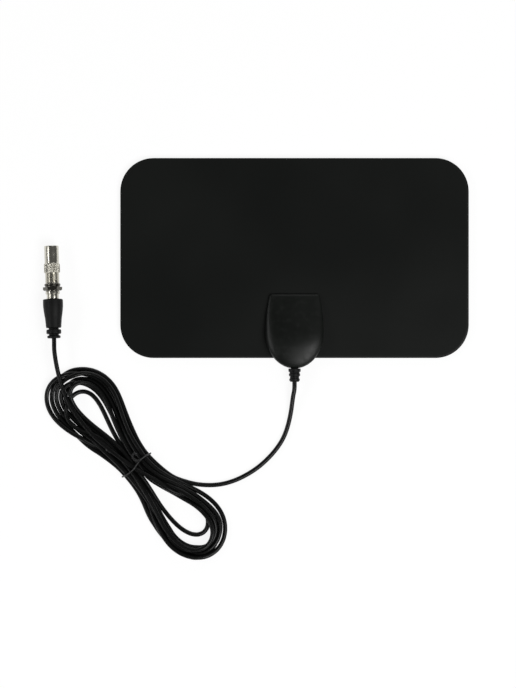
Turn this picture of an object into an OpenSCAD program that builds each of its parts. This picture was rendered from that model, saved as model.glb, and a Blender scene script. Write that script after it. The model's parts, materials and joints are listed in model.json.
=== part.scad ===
// Flat indoor television antenna: a laminated film panel with foil elements, a domed junction box on
// its lower edge, and a thin coaxial lead that lies in a tied hank and ends in a push-on plug.
// It lies on its back with its face up. X runs along the panel, Y up the panel, Z out of its face.

/* [Film panel] */
// Width of the panel
panel_w = 230; // [210:1:250]
// Height of the panel
panel_h = 132; // [124:1:144]
// Radius of the panel's four corners
panel_r = 22; // [12:1:30]
// Thickness of the front film
front_film_t = 0.3; // [0.2:0.05:0.4]
// Thickness of the back film, whose face the foil is pressed into
back_film_t = 0.4; // [0.3:0.05:0.5]
// Thickness of the foil elements
foil_t = 0.1; // [0.05:0.05:0.2]
// Number of slots cut into each foil element
foil_slots = 6; // [4:1:6]

/* [Junction box] */
// Half of the box's greatest width
box_half_w = 19.2; // [18.6:0.1:20.5]
// Height of the round end, below the widest line
box_round_h = 23.1; // [22:0.1:24]
// Height of the upper part, from the widest line to the flat edge
box_upper_h = 25.9; // [25:0.1:27]
// Half width of the flat upper edge
box_top_half_w = 16.2; // [15.5:0.1:17]
// Radius of the two upper corners
box_corner_r = 2; // [1.5:0.1:3]
// How far the box reaches below the panel's lower edge
box_drop = 6.9; // [6:0.1:8]
// Wall of the front shell
box_wall = 1.6; // [1.2:0.1:1.8]
// Height of the front shell over the panel at its flat upper edge
crown_low = 3.4; // [3.2:0.1:4.4]
// Height of the front shell over the panel at its fullest
crown_high = 9.4; // [9:0.1:11]
// Thickness of the rear shell
rear_t = 2.4; // [2:0.1:3]

/* [Lead and hank] */
// Diameter of the coaxial lead
cable_d = 3; // [2.8:0.1:3]
// Length of the strain relief outside the box
relief_len = 8.8; // [8.4:0.1:10]
// Diameter of the strain relief's collar
relief_d = 8.1; // [7.6:0.1:8.6]
// Height of the hank as it lies
hank_h = 8.5; // [7:0.1:8.5]

/* [Plug] */
// Greatest diameter of the moulded boot
boot_d = 13.2; // [12.6:0.1:14]
// Width across the flats of the coupling nut
nut_af = 11; // [10.6:0.1:12]
// Outer diameter of the push-on barrel and of the threaded end
barrel_d = 9.5; // [9.5:0.1:9.7]
// Diameter of the knurled ring
knurl_d = 10.6; // [10.2:0.1:11]
// Diameter of the plug's centre pin
pin_d = 2.34; // [2.2:0.02:2.5]

/* [Hidden] */
$fn = 64;
// Overlap that lets one cut run past a face
cut = 0.5;

// Places along Y; the origin is the middle of the panel, box and strain relief together
total_y = panel_h + box_drop + relief_len;
panel_low_y = total_y / 2 - panel_h;
panel_mid_y = panel_low_y + panel_h / 2;
box_low_y = panel_low_y - box_drop;
box_mid_y = box_low_y + box_round_h;
box_top_y = box_mid_y + box_upper_h;
exit_y = -total_y / 2;

// Heights of the layers
film_z = rear_t;
foil_z = film_z + back_film_t - foil_t;
face_z = film_z + back_film_t + front_film_t;
board_t = 1;
track_t = 0.1;
track_z = face_z + board_t;
pad_z = track_z + track_t;
cable_z = face_z + 2.4;
cable_r = cable_d / 2;

// Places of the pegs, rivets and board inside the box
peg_spots = [for (sx = [-1, 1], y = [box_mid_y + 15.5, box_mid_y - 8.5]) [sx * 13.6, y]];
peg_r = 1.3;
peg_gap = 0.15;
boss_r = 2.4;
rivet_spots = [for (sx = [-1, 1]) [sx * 6.5, box_mid_y + 10.8]];
rivet_r = 1;
rivet_bore_r = 0.7;
rivet_head_r = 2;
rivet_head_t = 0.3;
window_r = 2.6;
board_w = 21;
board_h = 28;
board_y = box_mid_y + 2.4;
core_y = box_mid_y + 3;
core_l = 6.2;
core_r = 1.8;
core_x = 1.6;
core_z = pad_z + core_r;
winding_r = 0.22;
winding_reach = core_l / 2 + 0.5;

// Stripped end of the lead inside the box
relief_seat_y = box_low_y + 2;
relief_tip_y = box_low_y + 3.6;
sheath_y = box_low_y + 8.5;
braid_y = box_low_y + 14;
dielectric_y = box_low_y + 17;
core_wire_y = box_low_y + 19.4;
braid_r = 1.1;
dielectric_r = 0.75;
core_wire_r = 0.3;
track_x = 7;
chip_size = [1.25, 2, 0.8];
chip_spots = [for (sx = [-1, 1]) [sx * track_x, box_mid_y - 4.5]];

// Upper half of the box outline is the ellipse that passes the widest line and the flat edge's ends
upper_b = box_upper_h / sqrt(1 - pow(box_top_half_w / box_half_w, 2));
side_steps = 13;
corner_steps = 4;
edge_steps = 5;

// Route of the lead, from the strain relief to the hank, measured from the lead's exit
lead_route = [
    [0, 0, cable_z], [0, -2, cable_z], [0, -4, cable_z], [-1, -10, 4.3], [-2.1, -18.6, 2.4],
    [-4, -27.9, 1.7], [-7.3, -35.8, 1.6], [-11.9, -43.4, 1.6], [-17.8, -50.4, 1.6],
    [-24.6, -56.4, 1.6], [-31.6, -60.9, 1.6], [-39.3, -64.5, 1.6], [-47.9, -66.8, 1.6],
    [-57.1, -67.9, 1.6], [-64.8, -67.4, 1.6], [-66.8, -66.9, 1.6], [-68.8, -66.4, 1.6]
];
// Where the lead lies against the hank's flank, as part of its solid
lead_landing = [[-68.8, -66.4], [-75, -64.85], [-82, -61.4], [-90, -55.6]];

// Outline of the hank, from the tie up round its upper loop, back, and round its lower loop
hank_outer = [
    [-96.5, -49], [-103, -37], [-107.5, -26.5], [-111.5, -15], [-117, -3], [-124.5, 5],
    [-134.5, 9.5], [-143.5, 9], [-154, 6], [-161.5, 0.5], [-165, -8], [-163, -17],
    [-157.5, -25], [-148, -33.5], [-136.5, -42], [-123.5, -51.5], [-113, -62], [-103, -75],
    [-96.5, -90], [-89, -102], [-78, -113.5], [-67, -117.5], [-55, -114.5], [-48, -106.5],
    [-45, -95], [-48, -84], [-56, -75], [-66, -69.5], [-74, -67], [-86, -59.5]
];
// Openings of its upper and lower loops
upper_opening = [
    [-116, -40.5], [-122.5, -36.5], [-128.5, -31.5], [-135, -23.5], [-141.5, -15.5],
    [-146, -8], [-143, -2.5], [-137.5, -5], [-131.5, -13.5], [-125, -25]
];
lower_opening = [
    [-100, -62], [-94.5, -70], [-87, -83.5], [-81.5, -95], [-73.5, -104],
    [-62.5, -108.5], [-55, -102], [-58, -92], [-66.5, -82], [-81, -73.5]
];
loop_steps = 3;

// Ends of the tie's band across the hank, its section, and its twisted tail
tie_ends = [[-96.2, -48.2], [-113.4, -62.2]];
tie_t = 0.8;
tie_w = 1.5;
tie_z = hank_h + tie_t;
tie_tail = [
    [-101.6, -52.2, tie_z + 0.4], [-103.4, -52.4, tie_z + 0.8], [-105.4, -51.6, tie_z + 0.9],
    [-106.9, -49.8, tie_z + 0.8], [-106.6, -47.8, tie_z + 0.7], [-104.9, -47.2, tie_z + 0.6],
    [-103.9, -48.6, tie_z + 0.5]
];

// Stations along the plug, from the end that the lead goes into
plug_len = 60.9;
boot_front_s = 25.7;
nut_s = 31.4;
collar_s = 33.7;
thread_s = 36.2;
knurl_s = 43;
barrel_s = 49.4;
thread_pitch = 0.8;
thread_depth = 0.35;
thread_mid_r = (barrel_d - thread_depth) / 2;
knurl_teeth = 36;

// The plug lies on its boot and on the rim of its barrel
plug_tail = [-158.5, 28.8];
plug_lean = 1.8;
boot_rest_s = boot_front_s - 0.5;
barrel_rest_s = plug_len - 0.4;
plug_dip = atan((boot_d - barrel_d) / 2 / (barrel_rest_s - boot_rest_s));
plug_tail_z = boot_rest_s * sin(plug_dip) + boot_d / 2 * cos(plug_dip);

// Route of the lead from the plug to the hank, over the edge of the upper loop
ridge_z = hank_h + cable_r;
plug_back = [sin(plug_lean) * cos(plug_dip), -cos(plug_lean) * cos(plug_dip), sin(plug_dip)];
plug_start = [plug_tail.x, plug_tail.y, plug_tail_z];
plug_route = [
    plug_start, plug_start + 2 * plug_back, plug_start + 4 * plug_back,
    [-158.1, 18, plug_tail_z + 1.2], [-156.9, 10.6, ridge_z], [-156.3, 9, ridge_z], [-155.7, 7.4, ridge_z]
];
// Where the lead lies on top of the loop, as part of the hank's solid
plug_landing = [[-155.7, 7.4], [-153.6, 1.8], [-150.6, -5], [-147, -11.2]];

function catmull(a, b, c, d, t) =
    0.5 * (2 * b + (c - a) * t + (2 * a - 5 * b + 4 * c - d) * t * t + (3 * b - a - 3 * c + d) * t * t * t);
function smooth_path(pts, steps) =
    let (n = len(pts) - 1)
    [for (i = [0 : n - 1], k = [0 : steps - 1])
        catmull(pts[max(i - 1, 0)], pts[i], pts[i + 1], pts[min(i + 2, n)], k / steps), pts[n]];
function smooth_loop(pts, steps) =
    let (n = len(pts))
    [for (i = [0 : n - 1], k = [0 : steps - 1])
        catmull(pts[(i + n - 1) % n], pts[i], pts[(i + 1) % n], pts[(i + 2) % n], k / steps)];
function unit(v) = v / norm(v);
function heading(path, i) = unit(path[min(i + 1, len(path) - 1)] - path[max(i - 1, 0)]);
function turned_left(v) = [-v.y, v.x];
// Outline of a strip of even width along a path
function strip_outline(path, width) =
    let (last = len(path) - 1)
    concat(
        [for (i = [0 : last]) path[i] + turned_left(heading(path, i)) * width / 2],
        [for (i = [last : -1 : 0]) path[i] - turned_left(heading(path, i)) * width / 2]);

// Outline of the box, set in by an even wall, as points counter-clockwise from the lowest point
function side_x(y, inset) =
    (box_half_w - inset) * sqrt(1 - pow(y / (y < 0 ? box_round_h - inset : upper_b - inset), 2));
function box_right_half(inset) =
    let (
        top = box_upper_h - inset,
        r = box_corner_r,
        lean = atan2(box_half_w * top / upper_b, upper_b * box_top_half_w / box_half_w),
        end_y = top - r + r * sin(lean),
        corner_x = side_x(end_y, inset) - r * cos(lean)
    )
    concat(
        [for (i = [0 : side_steps]) let (a = -90 + 90 * i / side_steps)
            [(box_half_w - inset) * cos(a), (box_round_h - inset) * sin(a)]],
        [for (i = [1 : 5]) let (y = end_y * i / 6) [side_x(y, inset), y]],
        [for (i = [0 : corner_steps]) let (a = lean + (90 - lean) * i / corner_steps)
            [corner_x + r * cos(a), top - r + r * sin(a)]],
        [for (i = [1 : edge_steps]) [corner_x * (1 - i / edge_steps), top]]);
function box_outline(inset) =
    let (half = box_right_half(inset), n = len(half))
    concat(half, [for (i = [n - 2 : -1 : 1]) [-half[i].x, half[i].y]]);

// Height of the front shell: low at the flat edge, swelling to the lower middle, round at the rim
ring_fractions = [0, 0.012, 0.035, 0.075, 0.13, 0.2, 0.28, 0.38, 0.49, 0.61, 0.74, 0.88];
rim_share = 0.4;
roundness = 2.3;
function crown(y) =
    let (t = min(max((box_upper_h - y) / (box_upper_h + 8), 0), 1))
    crown_low + (crown_high - crown_low) * (t * t * (3 - 2 * t) * 0.55 + t * 0.45);
function dome_height(y, t) =
    crown(y) * (rim_share + (1 - rim_share) * pow(1 - pow(1 - t, roundness), 1 / roundness));

// A closed solid under the dome, set in by a wall on its sides and top; its rings turn from the
// box's outline at the rim to circles at the top, so no ridge runs in from the corners
module dome_solid(inset, below) {
    outline = box_outline(inset);
    n = len(outline);
    rings = len(ring_fractions);
    floor_ring = [for (p = outline) [p.x, p.y, -below]];
    shell_rings = [for (t = ring_fractions, p = outline)
        let (w = t * t * (3 - 2 * t), q = (p * (1 - w) + unit(p) * (box_half_w - inset) * w) * (1 - t))
        [q.x, q.y, dome_height(q.y, t) - inset]];
    apex = [[0, 0, dome_height(0, 1) - inset]];
    faces = concat(
        [[for (i = [0 : n - 1]) i]],
        [for (k = [0 : rings - 1], i = [0 : n - 1]) let (j = (i + 1) % n)
            [k * n + i, (k + 1) * n + i, (k + 1) * n + j, k * n + j]],
        [for (i = [0 : n - 1]) [rings * n + i, (rings + 1) * n, rings * n + (i + 1) % n]]);
    translate([0, box_mid_y, face_z])
        polyhedron(concat(floor_ring, shell_rings, apex), faces, convexity = 4);
}

// A round tube along a path, level across, with flat ends
module swept_tube(path, r, sides = 8) {
    n = len(path);
    rings = [for (i = [0 : n - 1])
        let (
            along = heading(path, i),
            across = unit(cross(along, [0, 0, 1])),
            over = cross(along, across)
        )
        for (k = [0 : sides - 1])
            let (a = 360 * (k + 0.5) / sides)
            path[i] + r * cos(a) * across + r * sin(a) * over];
    faces = concat(
        [[for (k = [0 : sides - 1]) k]],
        [for (i = [0 : n - 2], k = [0 : sides - 1]) let (m = (k + 1) % sides)
            [i * sides + k, (i + 1) * sides + k, (i + 1) * sides + m, i * sides + m]],
        [[for (k = [sides - 1 : -1 : 0]) (n - 1) * sides + k]]);
    polyhedron(rings, faces, convexity = 6);
}

module rounded_rect(w, h, r) {
    square([w, h - 2 * r], center = true);
    square([w - 2 * r, h], center = true);
    for (sx = [-1, 1], sy = [-1, 1])
        translate([sx * (w / 2 - r), sy * (h / 2 - r)])
            circle(r);
}

// A straight round bar along Y between two places
module bar_y(y1, y2, r, x = 0, z = cable_z) {
    translate([x, max(y1, y2), z])
        rotate([90, 0, 0])
            cylinder(r = r, h = abs(y2 - y1));
}

module at_each(spots, z) {
    for (p = spots)
        translate([p.x, p.y, z])
            children();
}

module film_sheet(z, t) {
    translate([0, panel_mid_y, z])
        linear_extrude(t)
            rounded_rect(panel_w, panel_h, panel_r);
}

module back_film() {
    color("#1b1d1c")
        difference() {
            film_sheet(film_z, back_film_t);
            at_each(peg_spots, film_z - cut)
                cylinder(r = peg_r + peg_gap, h = back_film_t + 2 * cut);
            at_each(rivet_spots, film_z - cut)
                cylinder(r = rivet_r, h = back_film_t + 2 * cut);
            translate([0, 0, foil_z])
                linear_extrude(foil_t + cut) {
                    radiator_outline();
                    mirror([1, 0])
                        radiator_outline();
                }
        }
}

module front_film() {
    color("#191b1a")
        difference() {
            film_sheet(face_z - front_film_t, front_film_t);
            at_each(peg_spots, film_z)
                cylinder(r = peg_r + peg_gap, h = 2);
            at_each(rivet_spots, film_z)
                cylinder(r = window_r, h = 2);
        }
}

// Right-hand foil element: a plate slotted from both sides, with an arm to its feed tab
foil_in = 19;
foil_out = 103;
foil_low = panel_low_y + 14;
foil_high = panel_low_y + panel_h - 9;
slot_w = 3;
slot_len = 62;
module radiator_outline() {
    feed = rivet_spots[1];
    pitch = (foil_high - foil_low) / (foil_slots + 1);
    difference() {
        translate([(foil_in + foil_out) / 2, (foil_low + foil_high) / 2])
            rounded_rect(foil_out - foil_in, foil_high - foil_low, 12);
        for (i = [1 : foil_slots])
            translate([i % 2 == 0 ? foil_in - cut : foil_out + cut - slot_len, foil_low + i * pitch])
                square([slot_len, slot_w]);
    }
    polygon([
        [feed.x - 3.2, feed.y - 3.2], [feed.x + 3, feed.y - 3.2], [foil_in + 14, foil_low],
        [foil_in + 14, foil_low + 9], [feed.x + 3, feed.y + 1], [feed.x + 3, feed.y + 3.2],
        [feed.x - 3.2, feed.y + 3.2]
    ]);
}

module radiator() {
    color("#c9c6bd")
        difference() {
            translate([0, 0, foil_z])
                linear_extrude(foil_t)
                    radiator_outline();
            at_each([rivet_spots[1]], film_z)
                cylinder(r = rivet_r, h = 2);
        }
}

module radiator_right() {
    radiator();
}

module radiator_left() {
    mirror([1, 0, 0])
        radiator();
}

// Flat rear cover with a stepped edge, a lip beyond the panel, and four pegs through the films
module rear_shell() {
    step_in = 0.7;
    step_h = 0.7;
    lip_w = 1.7;
    color("#1a1b1b")
        difference() {
            union() {
                translate([0, box_mid_y, 0])
                    linear_extrude(step_h + 0.01)
                        polygon(box_outline(step_in));
                translate([0, box_mid_y, step_h])
                    linear_extrude(rear_t - step_h)
                        polygon(box_outline(0));
                intersection() {
                    translate([0, box_mid_y, rear_t])
                        linear_extrude(face_z - rear_t)
                            difference() {
                                polygon(box_outline(0));
                                polygon(box_outline(lip_w));
                            }
                    translate([-box_half_w, box_low_y - cut, 0])
                        cube([2 * box_half_w, box_drop + cut, 2 * rear_t]);
                }
                at_each(peg_spots, rear_t)
                    cylinder(r = peg_r, h = face_z - rear_t + 1.7);
            }
            at_each(rivet_spots, rear_t - rivet_head_t - 0.1)
                cylinder(r = rivet_head_r + 0.3, h = 2);
        }
}

// Domed front cover, hollow, with a socket over each peg and a keyhole for the strain relief's neck
neck_r = 2.4;
flange_r = 3;
fit_gap = 0.05;
module keyhole(y1, y2, r) {
    bar_y(y1, y2, r);
    translate([-r, y1, face_z - cut])
        cube([2 * r, y2 - y1, cable_z - face_z + cut]);
}

module front_shell() {
    socket_depth = 1.9;
    color("#1d1f1f") {
        difference() {
            dome_solid(0, 0);
            dome_solid(box_wall, cut);
            keyhole(box_low_y - 1, relief_seat_y, neck_r + fit_gap);
            keyhole(relief_seat_y - fit_gap, relief_tip_y + 0.2, flange_r + fit_gap);
        }
        intersection() {
            dome_solid(box_wall / 2, 0);
            at_each(peg_spots, face_z)
                difference() {
                    cylinder(r = boss_r, h = crown_high);
                    translate([0, 0, -cut])
                        cylinder(r = peg_r + fit_gap, h = socket_depth + cut);
                }
        }
    }
}

module circuit_board() {
    color("#2f6b45")
        difference() {
            translate([0, board_y, face_z])
                linear_extrude(board_t)
                    rounded_rect(board_w, board_h, 1.5);
            at_each(rivet_spots, face_z - cut)
                cylinder(r = rivet_r, h = board_t + 2 * cut);
        }
}

// Copper on the board: two feed pads and links, the ground pad round the braid, the centre pad
module board_tracks() {
    feed_y = rivet_spots[0].y;
    ground_low = box_low_y + 9;
    ground_high = chip_spots[0].y - chip_size.y / 2 + 0.3;
    link_low = chip_spots[0].y + chip_size.y / 2 - 0.3;
    leg_y = core_y + winding_reach;
    color("#b97a3c")
        translate([0, 0, track_z])
            linear_extrude(track_t)
                difference() {
                    union() {
                        for (sx = [-1, 1]) {
                            translate([rivet_spots[sx < 0 ? 0 : 1].x, feed_y])
                                square(4.8, center = true);
                            translate([sx * track_x - 0.6, link_low])
                                square([1.2, feed_y - link_low]);
                            translate([sx * track_x - 1.4, ground_low])
                                square([2.8, ground_high - ground_low]);
                            translate([sx * (core_x + track_x) / 2, leg_y])
                                square([track_x - core_x + 1, 1], center = true);
                        }
                        translate([-track_x, ground_low])
                            square([2 * track_x, 3.4]);
                        translate([-1.4, core_wire_y - 1.9])
                            square([2.8, 4.2]);
                    }
                    for (p = rivet_spots)
                        translate(p)
                            circle(rivet_r);
                }
}

module contact_washers() {
    color("#d8d2bd")
        at_each(rivet_spots, film_z + back_film_t)
            difference() {
                cylinder(r = rivet_head_r, h = front_film_t);
                translate([0, 0, -cut])
                    cylinder(r = rivet_r, h = front_film_t + 2 * cut);
            }
}

// Two tubular rivets that clamp the foil tabs, the washers and the board together
module feed_rivets() {
    color("#d5cba6")
        at_each(rivet_spots, 0)
            rotate_extrude()
                polygon([
                    [rivet_bore_r, film_z - rivet_head_t], [rivet_head_r, film_z - rivet_head_t],
                    [rivet_head_r, film_z], [rivet_r, film_z], [rivet_r, pad_z], [rivet_head_r, pad_z],
                    [rivet_head_r - 0.3, pad_z + rivet_head_t], [rivet_bore_r, pad_z + rivet_head_t]
                ]);
}

// Two-hole ferrite core of the matching transformer
module balun_core() {
    color("#3a3a3d")
        difference() {
            union() {
                for (sx = [-1, 1])
                    bar_y(core_y - core_l / 2, core_y + core_l / 2, core_r, sx * core_x, core_z);
                translate([-core_x, core_y - core_l / 2, pad_z])
                    cube([2 * core_x, core_l, 2 * core_r]);
            }
            for (sx = [-1, 1])
                bar_y(core_y - core_l / 2 - 1, core_y + core_l / 2 + 1, 0.9, sx * core_x, core_z);
        }
}

// Two turns of enamelled wire through both holes, with legs to the feed pads and the centre pad
module balun_winding() {
    leg_spots = [
        [-core_x, core_y + winding_reach], [core_x, core_y + winding_reach],
        [0, core_y - winding_reach - core_x]
    ];
    color("#a8491f") {
        for (dz = [-0.4, 0.4])
            translate([0, core_y, core_z + dz]) {
                for (sx = [-1, 1])
                    bar_y(-winding_reach, winding_reach, winding_r, sx * core_x, 0);
                for (turn = [0, 180])
                    rotate([0, 0, turn])
                        translate([0, winding_reach, 0])
                            rotate_extrude(angle = 180)
                                translate([core_x, 0])
                                    circle(winding_r);
            }
        at_each(leg_spots, pad_z)
            cylinder(r = winding_r, h = core_r);
    }
}

module chip_capacitors() {
    color("#8d7355")
        at_each(chip_spots, pad_z + chip_size.z / 2)
            cube(chip_size, center = true);
}

// Solder on the centre wire and on both sides of the braid
module solder_joints() {
    color("#c3c6c8")
        difference() {
            intersection() {
                union() {
                    translate([0, core_wire_y - 0.8, pad_z])
                        sphere(r = 1.75);
                    for (sx = [-1, 1])
                        translate([sx * 1.5, braid_y - 2, pad_z])
                            sphere(r = 1.35);
                }
                translate([-5, box_low_y, pad_z])
                    cube([10, 30, 5]);
            }
            bar_y(sheath_y, braid_y, braid_r);
            bar_y(braid_y, dielectric_y, dielectric_r);
            bar_y(dielectric_y, core_wire_y, core_wire_r);
        }
}

module cable_sheath() {
    color("#151616")
        difference() {
            bar_y(exit_y, sheath_y, cable_r);
            bar_y(exit_y - 1, sheath_y + 1, braid_r);
        }
}

module cable_braid() {
    color("#b5874f")
        difference() {
            bar_y(exit_y, braid_y, braid_r);
            bar_y(exit_y - 1, braid_y + 1, dielectric_r);
        }
}

module cable_dielectric() {
    color("#e9e7e0")
        difference() {
            bar_y(exit_y, dielectric_y, dielectric_r);
            bar_y(exit_y - 1, dielectric_y + 1, core_wire_r);
        }
}

module cable_core() {
    color("#c47f45")
        bar_y(exit_y, core_wire_y, core_wire_r);
}

// Ribbed bush moulded on the lead: flange inside, neck in the shell wall, collar and two ribs outside
module strain_relief() {
    collar_r = relief_d / 2;
    color("#191a1a")
        translate([0, box_low_y, cable_z])
            rotate([90, 0, 0])
                rotate_extrude()
                    polygon([
                        [cable_r, box_low_y - relief_tip_y], [flange_r, box_low_y - relief_tip_y],
                        [flange_r, box_low_y - relief_seat_y], [neck_r, box_low_y - relief_seat_y],
                        [neck_r, 0],
                        [collar_r - 0.2, 0], [collar_r, 0.3], [collar_r, 1.9], [collar_r - 0.4, 2.3],
                        [3.3, 2.4], [3.3, 3.2], [3.55, 3.3], [3.75, 3.6], [3.7, 4.8], [3.4, 5.1],
                        [3.05, 5.2], [3.05, 6.5], [3.3, 6.6], [3.5, 6.9], [3.45, 7.9],
                        [3.1, relief_len - 0.5], [2.7, relief_len], [cable_r, relief_len]
                    ]);
}

module at_exit() {
    translate([0, exit_y, 0])
        children();
}

module lead_cable() {
    color("#141515")
        at_exit()
            swept_tube(smooth_path(lead_route, 2), cable_r);
}

module plug_cable() {
    color("#141515")
        at_exit()
            swept_tube(smooth_path(plug_route, 2), cable_r);
}

// The tied turns as one solid with round ends, the tie's groove, and the two laid-on stretches
module cable_hank() {
    color("#151616")
        at_exit()
            difference() {
                union() {
                    linear_extrude(hank_h)
                        difference() {
                            polygon(smooth_loop(hank_outer, loop_steps));
                            polygon(smooth_loop(upper_opening, loop_steps));
                            polygon(smooth_loop(lower_opening, loop_steps));
                        }
                    linear_extrude(cable_d)
                        polygon(strip_outline(lead_landing, cable_d));
                    translate([0, 0, hank_h])
                        linear_extrude(cable_d)
                            polygon(strip_outline(plug_landing, cable_d));
                }
                tie_band(cut);
            }
}

// The band of the tie: a flat loop round the hank, longer outwards by the slack asked for
module tie_band(slack) {
    span = tie_ends[1] - tie_ends[0];
    length = norm(span);
    translate([tie_ends[0].x, tie_ends[0].y, 0])
        rotate([90, 0, atan2(span.y, span.x)])
            translate([0, 0, -tie_w / 2])
                linear_extrude(tie_w)
                    difference() {
                        translate([-slack, -slack])
                            square([length + 2 * slack, tie_z + 2 * slack]);
                        translate([tie_t, tie_t])
                            square([length - 2 * tie_t, tie_z - 2 * tie_t]);
                    }
}

module hank_tie() {
    color("#1f2020")
        at_exit() {
            tie_band(0);
            swept_tube(smooth_path(tie_tail, 2), 0.7, 6);
        }
}

module at_plug() {
    translate([plug_tail.x, exit_y + plug_tail.y, plug_tail_z])
        rotate([-(90 + plug_dip), 0, plug_lean])
            children();
}

// Moulded boot: two thin ribs at the lead, then a taper that swells to the front
crimp_s = 14;
crimp_r = 3.2;
module plug_boot() {
    r = boot_d / 2;
    color("#191a1a")
        at_plug()
            rotate_extrude()
                polygon([
                    [cable_r, 0], [4, 0], [4.4, 0.4], [4.4, 1.4], [4.1, 1.7], [3.3, 1.8], [3.3, 2.7],
                    [4.5, 2.8], [4.9, 3.3], [4.9, 5.2], [4.5, 5.7], [3.35, 5.8], [3.35, 6.7],
                    [4.7, 6.8], [5.05, 7.2], [5.3, 10.5], [5.55, 13.2], [r - 0.65, 15.6],
                    [r - 0.3, 18.2], [r, 21.2], [r, boot_rest_s], [r - 0.5, boot_front_s],
                    [crimp_r, boot_front_s], [crimp_r, crimp_s], [cable_r, crimp_s]
                ]);
}

plug_strip_s = 16;
module plug_sheath() {
    color("#151616")
        at_plug()
            difference() {
                cylinder(r = cable_r, h = plug_strip_s);
                translate([0, 0, -1])
                    cylinder(r = braid_r, h = plug_strip_s + 2);
            }
}

plug_wire_r = 0.4;
module plug_dielectric() {
    color("#e9e7e0")
        at_plug()
            difference() {
                cylinder(r = braid_r, h = nut_s + 1.2);
                translate([0, 0, -1])
                    cylinder(r = plug_wire_r, h = plug_len);
            }
}

// The lead's own centre wire is the centre contact of the screw-on connector
module plug_wire() {
    color("#c47f45")
        at_plug()
            cylinder(r = plug_wire_r, h = 40);
}

// Crimp sleeve, neck with a shoulder ring, and the flange that keeps the nut on
module connector_body() {
    color("#b9bab6")
        at_plug()
            rotate_extrude()
                polygon([
                    [cable_r, crimp_s], [crimp_r, crimp_s], [crimp_r, boot_front_s],
                    [3.9, boot_front_s], [4, boot_front_s + 0.3], [4, nut_s - 2.5],
                    [4.7, nut_s - 2.2], [4.7, nut_s - 0.7], [4.3, nut_s - 0.3],
                    [3.6, nut_s - 0.3], [3.6, nut_s + 1], [4.4, nut_s + 1], [4.4, collar_s],
                    [braid_r, collar_s], [braid_r, plug_strip_s], [cable_r, plug_strip_s]
                ]);
}

// Hexagon with bevelled corners and a round lip in front, held by the body's flange
module coupling_nut() {
    across_corners = nut_af / cos(30);
    color("#6f6f6c")
        at_plug()
            difference() {
                union() {
                    intersection() {
                        translate([0, 0, nut_s])
                            cylinder(d = across_corners, h = collar_s - nut_s, $fn = 6);
                        translate([0, 0, nut_s - 0.01])
                            cylinder(r1 = nut_af / 2 + 0.2, r2 = nut_af / 2 + 2.8, h = 2.6);
                    }
                    rotate_extrude()
                        polygon([
                            [0, collar_s - 0.01], [4.9, collar_s - 0.01], [4.9, collar_s + 0.7],
                            [5.3, collar_s + 1], [5.3, thread_s - 0.6], [4.9, thread_s - 0.2],
                            [0, thread_s - 0.2]
                        ]);
                }
                translate([0, 0, nut_s - 1])
                    cylinder(r = 3.7, h = 3);
                translate([0, 0, nut_s + 1])
                    cylinder(r = thread_mid_r, h = 6);
            }
}

// Adapter: threaded socket end, knurled ring and the thin push-on barrel, turned from one bar
module adapter_shell() {
    r = barrel_d / 2;
    bore_r = r - 0.65;
    ridges = floor((knurl_s - thread_s - 0.4) / thread_pitch);
    color("#c6c7c3")
        at_plug() {
            rotate_extrude()
                polygon(concat(
                    [[2.9, collar_s], [thread_mid_r, collar_s], [thread_mid_r, thread_s - 0.2],
                     [r - thread_depth, thread_s]],
                    [for (i = [0 : ridges - 1], k = [0, 1])
                        [k == 0 ? r : r - thread_depth, thread_s + (i + 0.5 + k / 2) * thread_pitch]],
                    [[r - thread_depth, knurl_s], [knurl_d / 2 - 0.35, knurl_s],
                     [knurl_d / 2 - 0.35, barrel_s - 0.3], [r + 0.1, barrel_s],
                     [r, barrel_s + 0.2], [r, barrel_rest_s], [r - 0.25, plug_len],
                     [bore_r + 0.15, plug_len], [bore_r, plug_len - 0.3], [bore_r, barrel_s + 1.6],
                     [2.9, barrel_s + 1.6]]));
            translate([0, 0, knurl_s + 0.4])
                linear_extrude(barrel_s - knurl_s - 1.1)
                    difference() {
                        polygon([for (i = [0 : 2 * knurl_teeth - 1])
                            let (a = 180 * i / knurl_teeth, q = knurl_d / 2 - 0.3 * (i % 2))
                            [q * cos(a), q * sin(a)]]);
                        circle(knurl_d / 2 - 0.6);
                    }
        }
}

module adapter_insulator() {
    color("#dedbd0")
        at_plug()
            difference() {
                translate([0, 0, collar_s + 0.4])
                    cylinder(r = 2.9, h = barrel_s + 1.2 - collar_s);
                translate([0, 0, collar_s])
                    cylinder(r = plug_wire_r, h = 41 - collar_s);
                translate([0, 0, 41])
                    cylinder(r = pin_d / 2, h = 20);
            }
}

module adapter_pin() {
    color("#d9d3a8")
        at_plug()
            rotate_extrude()
                polygon([
                    [0, 41], [pin_d / 2, 41], [pin_d / 2, plug_len - 1.2], [pin_d / 2 - 0.3, plug_len - 0.6],
                    [pin_d / 4, plug_len - 0.3], [0, plug_len - 0.3]
                ]);
}

back_film();
radiator_left();
radiator_right();
front_film();
rear_shell();
front_shell();
circuit_board();
board_tracks();
contact_washers();
feed_rivets();
balun_core();
balun_winding();
chip_capacitors();
solder_joints();
cable_sheath();
cable_braid();
cable_dielectric();
cable_core();
strain_relief();
lead_cable();
cable_hank();
hank_tie();
plug_cable();
plug_boot();
plug_sheath();
plug_dielectric();
plug_wire();
connector_body();
coupling_nut();
adapter_shell();
adapter_insulator();
adapter_pin();
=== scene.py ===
import json
import math

import bmesh
import bpy
import numpy as np
from mathutils import Matrix, Vector


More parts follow.
